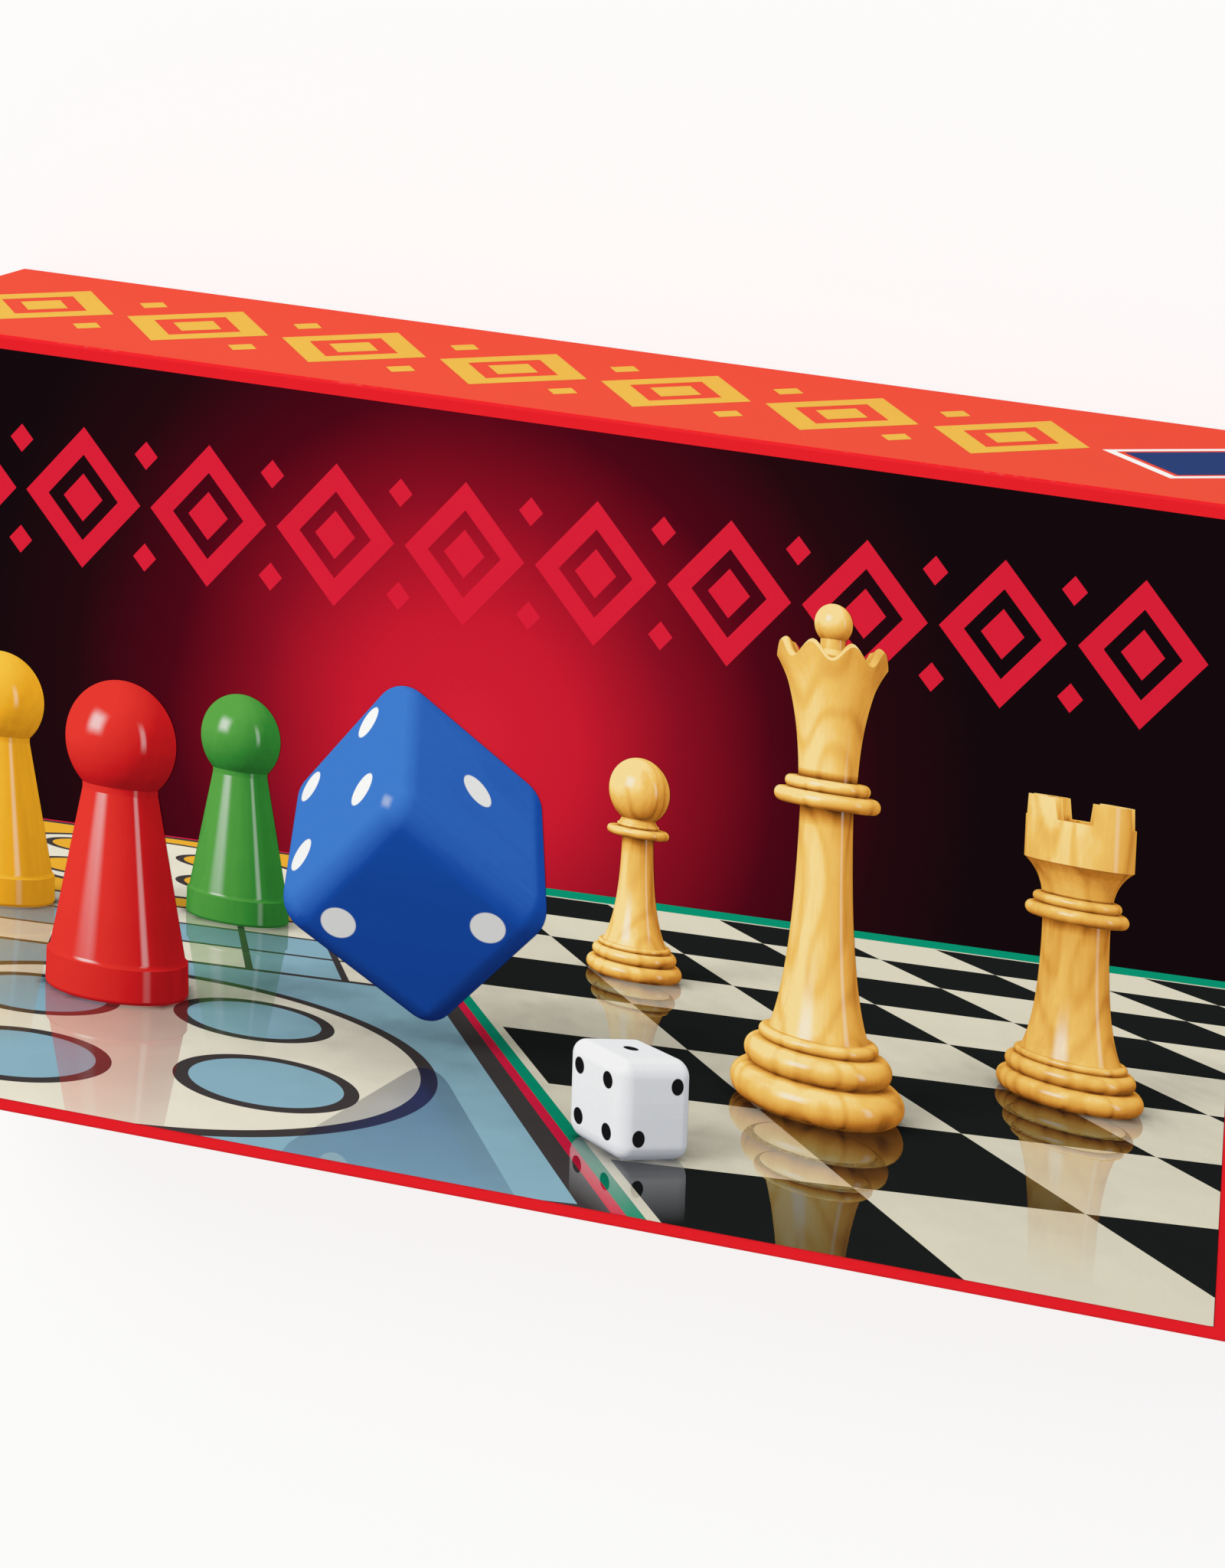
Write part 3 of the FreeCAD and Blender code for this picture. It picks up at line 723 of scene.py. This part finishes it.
def window(towards, half_wide, half_high):
    towards = Vector(towards).normalized()
    side = towards.cross(Vector((0, 0, 1))).normalized()
    return Window(towards, side, side.cross(towards), half_wide, half_high)


LEFT = window((-0.62, -0.62, 0.48), 0.42, 0.44)
RIGHT = window((0.86, -0.45, 0.22), 0.16, 0.52)
SKY_RAYS = 36
WINDOW_RAYS = 9
WINDOW_SPREAD = 0.22
RAY_REACH = 160.0
RAY_START = 0.06
NO_AREA = 1e-7
FROM_WINDOW = 0.55

# Light that is always there, and light from the open sky
SOLID_LIGHT = (0.12, 0.5)
FLOOR_LIGHT = (-0.06, 0.72)
FLOOR_OUTSIDE = 0.9


def dome(count):
    """Directions over a half-sphere about +Z, as evenly lit flat ground sees the sky."""
    step = (np.arange(count) + 0.5) / count
    turn = np.arange(count) * math.pi * (3 - math.sqrt(5))
    out = np.sqrt(step)
    return np.column_stack([out * np.cos(turn), out * np.sin(turn), np.sqrt(1 - step)])


def light_on(points, normals, tree, always, from_sky):
    """How brightly each point is lit by the open sky, and by the left window where nothing hides it."""
    sky = [Vector(d) for d in dome(SKY_RAYS)]
    spread = dome(WINDOW_RAYS) * WINDOW_SPREAD
    panes = [(LEFT.towards + LEFT.side * a + LEFT.up * b).normalized() for a, b, _ in spread]
    lit = np.zeros(len(points), np.float32)

    def open_share(start, ways):
        return sum(tree.ray_cast(start, way, RAY_REACH)[0] is None for way in ways) / len(ways)

    for i, (point, normal) in enumerate(zip(map(Vector, points), map(Vector, normals))):
        start = point + normal * RAY_START
        turn = normal.to_track_quat("Z", "Y")
        lit[i] = always + from_sky * open_share(start, [turn @ d for d in sky])
        facing = normal.dot(LEFT.towards)
        if facing > 0:
            lit[i] += FROM_WINDOW * facing * open_share(start, panes)
    return lit


def pressed(points, layer):
    """Where the picture's points land on the panel. A hair's height keeps what is nearer on top."""
    share = EYE_BACK / (EYE_BACK + points[:, 1])
    return np.column_stack([points[:, 0] * share, HORIZON - (EYE_HIGH - points[:, 2]) * share,
                            lid_top + layer + RELIEF * share])


def on_lid(piece):
    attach(piece, "lid")


def printed(name, points, faces, material, **values):
    """A flat piece of the lid's print, of the faces that look up, cut off where the border starts."""
    a, b, c, d = (points[faces[:, i], :2] for i in range(4))
    diagonal, other = c - a, d - b
    up = diagonal[:, 0] * other[:, 1] - diagonal[:, 1] * other[:, 0] > NO_AREA
    used, index = np.unique(faces[up], return_inverse=True)
    piece = meshed(name, points[used], index.reshape(-1, 4).tolist(), material,
                   **{key: value[used] for key, value in values.items()})
    cut = bmesh.new()
    cut.from_mesh(piece.data)
    for axis, reach in (((1, 0, 0), half_long), ((0, 1, 0), half_wide)):
        for out in (Vector(axis), -Vector(axis)):
            bmesh.ops.bisect_plane(cut, geom=cut.verts[:] + cut.edges[:] + cut.faces[:], plane_no=out,
                                   plane_co=out * (reach - BORDER) * MM, clear_outer=True)
    cut.to_mesh(piece.data)
    cut.free()
    on_lid(piece)


def window_shine(finish, light, soft):
    """A window mirrored in a glossy solid of the picture, from 0 to 1, with soft edges."""
    glint = finish.attribute("glint")

    def part(axis):
        return finish.vector("DOT_PRODUCT", glint, tuple(axis), out="Value")

    shine = part(light.towards) > 0
    for axis, half in ((light.side, light.half_wide), (light.up, light.half_high)):
        shine = shine * finish.smooth(abs(part(axis)), half, half * (1 - soft))
    return shine


def maple_picture(finish):
    rest = finish.attribute("rest")
    light = finish.attribute("light", "Fac")
    lines = maple_lines(finish, 26.0, (1, 1, 2.4), rest)
    fine = finish.noise(0.9, 2.0, (1, 1, 9.0), rest)
    figure = lines * lines * lines * -0.11 + fine * 0.1
    return finish.ramp(light + figure, [
        (0.12, ink(88, 44, 8)), (0.38, ink(184, 114, 34)), (0.62, ink(228, 166, 70)),
        (0.86, ink(246, 200, 106)), (1.0, ink(254, 226, 156))])


def paint_picture(deep, middle, bright):
    """A painted solid's ink, from its shaded side to its lit side."""
    def colour_of(finish):
        light = finish.attribute("light", "Fac")
        return finish.ramp(light, [(0.1, deep), (0.55, middle), (1.05, bright)])
    return colour_of


def die_picture(name, deep, middle, bright, pip_colour):
    """A thrown die's ink, with pips whose sizes are shares of its side."""
    side = np.ptp(picture[name].rest[:, 0])
    pitch, pip, soft = side * 0.255, side * 0.084, side * 0.004

    def colour_of(finish):
        light = finish.attribute("light", "Fac")
        body = finish.ramp(light, [(0.12, deep), (0.55, middle), (1.0, bright)])
        pips = pip_distance(finish, finish.attribute("rest"), side, pitch)
        dot = finish.shaded(pip_colour, light * 0.6 + 0.4)
        return finish.mix(finish.smooth(pips, pip + soft, pip - soft), body, dot)
    return colour_of


def picture_floor():
    """The picture's floor: a chess board beside a ludo board, seen from the picture's eye."""
    finish = Finish("picture_floor")
    x, y, _ = finish.axes()
    share = (HORIZON - y) / EYE_HIGH
    flat = finish.node("ShaderNodeCombineXYZ", inputs=[x / share, EYE_BACK / share - EYE_BACK])
    u, v, _ = finish.axes(finish.local(flat, (*PICTURE_PIVOT, 0), (0, 0, PICTURE_TURN)))
    chess = chess_ink(finish, (u - PICTURE_EDGE) / PICTURE_SQUARE, v / PICTURE_SQUARE + CHESS_NEAR_ROW,
                      BOARD_GREEN)
    ludo = ludo_ink(finish, u / PICTURE_CELL - LUDO_MIDDLE[0], v / PICTURE_CELL - LUDO_MIDDLE[1],
                    LUDO_RED)
    colour = finish.mix(u > 0, ludo, chess)
    grain, rough = ink_grain(finish)
    light = finish.attribute("light", "Fac")
    colour = finish.shaded(colour, light * 1.1 + grain * 0.05 - 0.025)
    return finish.done(colour, rough, **PAPER_SHEEN)


# Each kind of solid's colours, the left and the right window's shine, and how soft their edges are
PICTURE_INKS = {
    "maple": (maple_picture, 0.5, 0.25, 0.75),
    "red_man": (paint_picture(ink(92, 4, 10), ink(200, 24, 28), ink(238, 58, 48)), 0.6, 0.25, 0.8),
    "yellow_man": (paint_picture(ink(150, 84, 6), ink(236, 168, 34), ink(255, 206, 74)), 0.6, 0.25, 0.8),
    "green_man": (paint_picture(ink(14, 58, 20), ink(48, 130, 48), ink(96, 172, 74)), 0.6, 0.25, 0.8),
    "blue_die": (die_picture("blue_die", ink(6, 24, 78), ink(20, 74, 164), ink(66, 128, 212), WHITE),
                 0.35, 0.0, 0.8),
    "white_die": (die_picture("white_die", ink(112, 116, 124), ink(216, 218, 222), ink(252, 252, 252),
                              ink(20, 20, 22)), 0.4, 0.0, 0.8),
}
SOLID_LAYER, MIRROR_LAYER = 0.02, 0.01
MIRROR_STRENGTH, MIRROR_SHARE = 0.34, 0.6


@cache
def picture_ink(kind, mirrored):
    """Ink of a kind of solid, or of its mirror image: its own colour, lit, with the windows' shine."""
    colour_of, left, right, soft = PICTURE_INKS[kind]
    finish = Finish(f"picture_{kind}_mirrored" if mirrored else f"picture_{kind}")
    shine = window_shine(finish, LEFT, soft) * left + window_shine(finish, RIGHT, soft) * right
    colour = finish.mix(shine, colour_of(finish), WHITE)
    grain, rough = ink_grain(finish)
    seen = {"Alpha": finish.attribute("fade", "Fac")} if mirrored else {}
    return finish.done(finish.shaded(colour, grain * 0.05 + 0.975), rough, **seen, **PAPER_SHEEN)


def build_picture():
    solids = picture.values()
    points = np.concatenate([solid.points for solid in solids])
    starts = np.cumsum([0] + [len(solid.points) for solid in solids])
    faces = np.concatenate([solid.faces + start for solid, start in zip(solids, starts)])
    near, far = -200.0, 900.0
    ground = np.array([(-far, near, 0), (far, near, 0), (far, far, 0), (-far, far, 0)])
    tree = BVHTree.FromPolygons(np.concatenate([points, ground]).tolist(),
                                faces.tolist() + [[len(points) + i for i in range(4)]])

    eye = np.array((0, -EYE_BACK, EYE_HIGH))
    for name, solid in picture.items():
        sight = unit(solid.points - eye)
        glint = sight - 2 * np.sum(sight * solid.normals, 1)[:, None] * solid.normals
        lit = light_on(solid.points, solid.normals, tree, *SOLID_LIGHT)
        values = {"rest": solid.rest, "light": lit, "glint": glint}
        kind = name if name in PICTURE_INKS else "maple"
        printed(f"print_{name}", pressed(solid.points, SOLID_LAYER), solid.faces,
                picture_ink(kind, False), **values)
        mirror = pressed(solid.points * (1, 1, -1), 0)
        mirror[:, 2] = lid_top + RELIEF * (HORIZON - mirror[:, 1]) / EYE_HIGH + MIRROR_LAYER
        high = solid.points[:, 2].max() * MIRROR_SHARE
        fade = MIRROR_STRENGTH * np.clip(1 - solid.points[:, 2] / high, 0, 1)
        low = fade[solid.faces].max(1) > 0
        printed(f"mirror_{name}", mirror, solid.faces[low][:, ::-1], picture_ink(kind, True),
                fade=fade, **values)
    build_floor(tree)


def build_floor(tree):
    """The picture's floor as a sheet, with the shadows that fall on it."""
    across, deep, half, margin = 240, 120, 560.0, 8.0
    nearest, farthest = 1.7, EYE_BACK / (EYE_BACK + PICTURE_DEEP)
    u = np.linspace(-half, half, across + 1)
    v = EYE_BACK / np.linspace(nearest, farthest, deep + 1) - EYE_BACK
    u, v = (i.ravel() for i in np.meshgrid(u, v, indexing="ij"))
    cos, sin = math.cos(PICTURE_TURN), math.sin(PICTURE_TURN)
    points = np.column_stack([PICTURE_PIVOT[0] + u * cos - v * sin,
                              PICTURE_PIVOT[1] + u * sin + v * cos, u * 0])
    faces = grid_faces(across, deep)
    flat = pressed(points, 0)
    shown = np.abs(flat[:, 0]) < half_long + margin
    shown &= (flat[:, 1] > -half_wide - margin) & (points[:, 1] > -EYE_BACK / 2)
    lit = np.full(len(points), FLOOR_OUTSIDE, np.float32)
    lit[shown] = light_on(points[shown], np.tile((0, 0, 1), (shown.sum(), 1)), tree, *FLOOR_LIGHT)
    printed("print_floor", flat, faces[shown[faces].all(1)], picture_floor(), light=lit)


build_picture()


# Bands of lozenges on the lid, drawn by one tree of geometry nodes

INK_THICK = 0.03


def lozenge_tree():
    """A row of open lozenges, each with a core, and small lozenges between them above and below."""
    group = bpy.data.node_groups.new("lozenge_band", "GeometryNodeTree")
    band = Nodes(group)
    kinds = {"Int": ["Count"], "Material": ["Line ink", "Core ink"],
             "Float": ["Pitch", "Width", "Height", "Stroke", "Core", "Dot", "Thickness"]}
    for kind, names in kinds.items():
        for name in names:
            group.interface.new_socket(name, in_out="INPUT", socket_type=f"NodeSocket{kind}")
    group.interface.new_socket("Geometry", in_out="OUTPUT", socket_type="NodeSocketGeometry")
    given = band.node("NodeGroupInput")
    count, pitch, width, height = (given.out(name) for name in ("Count", "Pitch", "Width", "Height"))

    def shape(kind, inputs, **settings):
        return band.node(f"GeometryNode{kind}", settings, inputs)

    def vector(x=0.0, y=0.0, z=0.0):
        return band.node("ShaderNodeCombineXYZ", inputs=[x, y, z])

    def lozenge(share, is_core=False):
        plain = shape("MeshCircle", {"Vertices": 4, "Radius": 0.5}, fill_type="NGON")
        size = vector(width * share, height * share, 1.0)
        sized = shape("Transform", {"Geometry": plain, "Scale": size})
        return shape("StoreNamedAttribute", {"Geometry": sized, "Name": "core", "Value": is_core},
                     data_type="BOOLEAN", domain="FACE")

    def thick(flat):
        return shape("ExtrudeMesh", {"Mesh": flat, "Offset": (0, 0, 1), "Individual": False,
                                     "Offset Scale": given.out("Thickness")})

    def row(one, number, y):
        start = vector((1 - number) * pitch * 0.5, y)
        places = shape("MeshLine", {"Count": number, "Start Location": start, "Offset": vector(pitch)},
                       mode="OFFSET")
        return shape("InstanceOnPoints", {"Points": places, "Instance": one})

    slant = (width * width + height * height).math("SQRT")
    opening = 1 - given.out("Stroke") * 2 * slant / (width * height)
    grown = shape("ExtrudeMesh", {"Mesh": lozenge(1.0), "Offset Scale": 0.0})
    inner = shape("ScaleElements", {"Geometry": grown, "Selection": grown.out("Top"), "Scale": opening})
    ring = shape("DeleteGeometry", {"Geometry": inner, "Selection": grown.out("Top")}, domain="FACE")
    core, dot = thick(lozenge(given.out("Core"), True)), thick(lozenge(given.out("Dot")))
    dots_up = height * 0.36
    rows = [row(thick(ring), count, 0.0), row(core, count, 0.0),
            row(dot, count - 1, dots_up), row(dot, count - 1, dots_up * -1)]
    together = shape("JoinGeometry", [rows])
    is_core = shape("InputNamedAttribute", {"Name": "core"}, data_type="BOOLEAN")
    real = shape("RealizeInstances", [together])
    lines = shape("SetMaterial", {"Geometry": real, "Material": given.out("Line ink")})
    inked = shape("SetMaterial", {"Geometry": lines, "Selection": is_core,
                                  "Material": given.out("Core ink")})
    band.node("NodeGroupOutput", inputs=[inked])
    return group


def ink_finish(name, colour):
    """Printed ink under the same laminate as the rest of the wrap."""
    finish = Finish(name)
    grain, rough = ink_grain(finish)
    clouds = finish.noise(18.0)
    tone = finish.shaded(colour, grain * 0.06 + clouds * 0.05 + 0.945)
    return finish.done(tone, rough, fibre(finish), 0.5, **PAPER_SHEEN)


tree_of_lozenges = lozenge_tree()
red_ink = ink_finish("band_red", ink(222, 30, 55))
yellow_ink = ink_finish("band_yellow", ink(238, 190, 75))
navy_ink = ink_finish("badge_navy", ink(28, 58, 118))
white_ink = ink_finish("badge_white", WHITE)


def lozenge_band(name, turn, place, line_ink, core_ink, **sizes):
    """A band of lozenges on a face of the lid. Sizes are in millimetres, and Core and Dot are shares."""
    piece = linked(name, bpy.data.meshes.new(name))
    modifier = piece.modifiers.new("band", "NODES")
    modifier.node_group = tree_of_lozenges
    values = {"Thickness": INK_THICK, "Line ink": line_ink, "Core ink": core_ink, **sizes}
    for socket in tree_of_lozenges.interface.items_tree:
        if socket.in_out == "INPUT":
            modifier[socket.identifier] = values[socket.name]
    depsgraph = bpy.context.evaluated_depsgraph_get()
    mesh = bpy.data.meshes.new_from_object(piece.evaluated_get(depsgraph))
    piece.modifiers.remove(modifier)
    mesh.transform(Matrix.Scale(MM, 4) @ Matrix.Translation(place) @ Euler(turn).to_matrix().to_4x4())
    piece.data = mesh
    on_lid(piece)


BAND_GAP = 0.01
BAND_UP, BAND_ALONG, BADGE_ALONG = 47.0, -20.0, 120.0
PANEL_LOZENGE = dict(Pitch=27.2, Width=25.0, Height=27.0, Stroke=3.6, Core=0.34, Dot=0.2)
SIDE_LOZENGE = dict(Pitch=34.0, Width=31.0, Height=34.0, Stroke=4.4, Core=0.34, Dot=0.2)
BADGE_LOZENGE = dict(Pitch=1.0, Width=40.0, Height=30.0, Stroke=1.6, Core=0.78, Dot=0.2)
side_middle = (lid_low.z + lid_top) / 2
upright = math.pi / 2
lozenge_band("band_panel", (0, 0, 0), (0, BAND_UP, lid_top + BAND_GAP), red_ink, red_ink,
             Count=10, **PANEL_LOZENGE)
for side, name in ((1, "upper"), (-1, "lower")):
    face, out = (upright, 0, 0 if side < 0 else math.pi), side * (half_wide + BAND_GAP)
    lozenge_band(f"band_{name}_side", face, (BAND_ALONG, out, side_middle), yellow_ink, yellow_ink,
                 Count=7, **SIDE_LOZENGE)
    lozenge_band(f"badge_{name}_side", face, (BADGE_ALONG, out, side_middle), white_ink, navy_ink,
                 Count=1, **BADGE_LOZENGE)
for side, name in ((1, "right"), (-1, "left")):
    face, out = (upright, 0, side * upright), side * (half_long + BAND_GAP)
    lozenge_band(f"band_{name}_end", face, (out, 0, side_middle), yellow_ink, yellow_ink,
                 Count=3, **SIDE_LOZENGE)


# Cloth tape in the board's fold

TAPE_THICK = 0.15
BEND_STEPS, LEAF_STEPS, TAPE_STEPS = 17, 6, 40


def hinge_strip():
    """A strip folded double round the crease, in one piece."""
    outer = (tape_high.z - tape_low.z) / 2
    inner = outer - TAPE_THICK
    turn = np.linspace(-math.pi / 2, math.pi / 2, BEND_STEPS)

    def leaf(radius):
        flat = np.linspace(tape_low.y, fold_y, LEAF_STEPS)[:-1]
        y = [flat, fold_y + radius * np.cos(turn), flat[::-1]]
        z = [flat * 0 - radius, radius * np.sin(turn), flat * 0 + radius]
        return np.column_stack([np.concatenate(y), fold_z + np.concatenate(z)])

    section = np.concatenate([leaf(outer), leaf(inner)[::-1]])
    count, last = len(section), TAPE_STEPS - 1
    points = np.array([(x, y, z) for x in np.linspace(tape_low.x, tape_high.x, TAPE_STEPS)
                       for y, z in section])
    faces = []
    for i in range(0, last * count, count):
        for j in range(count):
            k = (j + 1) % count
            faces.append((i + j, i + k, i + count + k, i + count + j))
    ends = [(j, j + 1, count - 2 - j, count - 1 - j) for j in range(count // 2 - 1)]
    faces += [end[::-1] for end in ends]
    faces += [tuple(i + last * count for i in end) for end in ends]
    piece = meshed("hinge_strip", points, faces, finishes["hinge_cloth"], folded=points)
    clean = bmesh.new()
    clean.from_mesh(piece.data)
    bmesh.ops.recalc_face_normals(clean, faces=clean.faces)
    clean.to_mesh(piece.data)
    clean.free()
    fold_y * MM
    (fold_z - inner) * MM
    fold_y * MM
    (fold_z + inner) * MM
    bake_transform(piece)
    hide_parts("hinge_tape")


hinge_strip()


# Floor, light and camera

FLOOR_SIDE = 8000.0
FLOOR_WHITE = 0.8
SKY_LEVEL = 0.62
LAMP_AT, LAMP_SIDE, LAMP_POWER = Vector((-0.5, 1.0, 1.3)), 1.4, 13.5
LAMP_TOWARDS = Vector((0, 0, 0.03))

# The photograph's view: focal length and height in pixels, place in metres, turn in degrees
FOCAL, PHOTO_HIGH, SENSOR = 10532.9, 2048, 36.0
CAMERA_AT = (0.67427, 0.37686, 1.32138)
CAMERA_TURN = (-13.6149, 27.8674, 1.9432)


def shown_rays(air):
    """1 for the rays that show a thing itself: to the camera, in a gloss or through glass."""
    path = air.node("ShaderNodeLightPath", out="Is Camera Ray")
    return path.most(path.out("Is Glossy Ray")).most(path.out("Is Transmission Ray"))


def floor_finish():
    """Pale matt floor, shown nearly white, with part of its shadow left."""
    finish = Finish("floor")
    clouds = finish.noise(60.0)
    tone = finish.shaded(WHITE, clouds * 0.01 + 0.992)
    matt = finish.node("ShaderNodeBsdfDiffuse", inputs={"Color": tone})
    white = finish.node("ShaderNodeEmission", inputs={"Color": (1, 1, 1, 1), "Strength": 1.0})
    both = finish.node("ShaderNodeMixShader", inputs=[shown_rays(finish) * FLOOR_WHITE, matt, white])
    finish.node("ShaderNodeOutputMaterial", inputs=[both])
    return finish.material


def floor():
    corners = np.array([(-1, -1, 0), (1, -1, 0), (1, 1, 0), (-1, 1, 0)]) * FLOOR_SIDE / 2
    meshed("floor", corners, [(0, 1, 2, 3)], floor_finish())


def sky():
    """An even sky. The camera and glossy surfaces see plain white, and what it lights gets less."""
    world = bpy.data.worlds.new("sky")
    bpy.context.scene.world = world
    world.use_nodes = True
    air = Nodes(world.node_tree)
    lit, white = (air.node("ShaderNodeBackground", inputs={"Color": (1, 1, 1, 1), "Strength": level})
                  for level in (SKY_LEVEL, 1.0))
    both = air.node("ShaderNodeMixShader", inputs=[shown_rays(air), lit, white])
    air.node("ShaderNodeOutputWorld", inputs=[both])


def soft_lamp():
    lamp = bpy.data.lights.new("key", "AREA")
    lamp.shape, lamp.size, lamp.energy = "SQUARE", LAMP_SIDE, LAMP_POWER
    held = linked("key", lamp)
    held.location = LAMP_AT
    held.rotation_euler = (LAMP_TOWARDS - LAMP_AT).to_track_quat("-Z", "Y").to_euler()


def camera():
    lens = bpy.data.cameras.new("camera")
    lens.sensor_fit, lens.sensor_height, lens.sensor_width = "VERTICAL", SENSOR, SENSOR
    lens.lens = FOCAL * SENSOR / PHOTO_HIGH
    lens.clip_start, lens.clip_end = 0.01, 100
    held = linked("camera", lens)
    held.location = CAMERA_AT
    held.rotation_euler = [math.radians(a) for a in CAMERA_TURN]
    bpy.context.scene.camera = held


floor()
sky()
soft_lamp()
camera()
bpy.context.scene.view_settings.view_transform = "Standard"
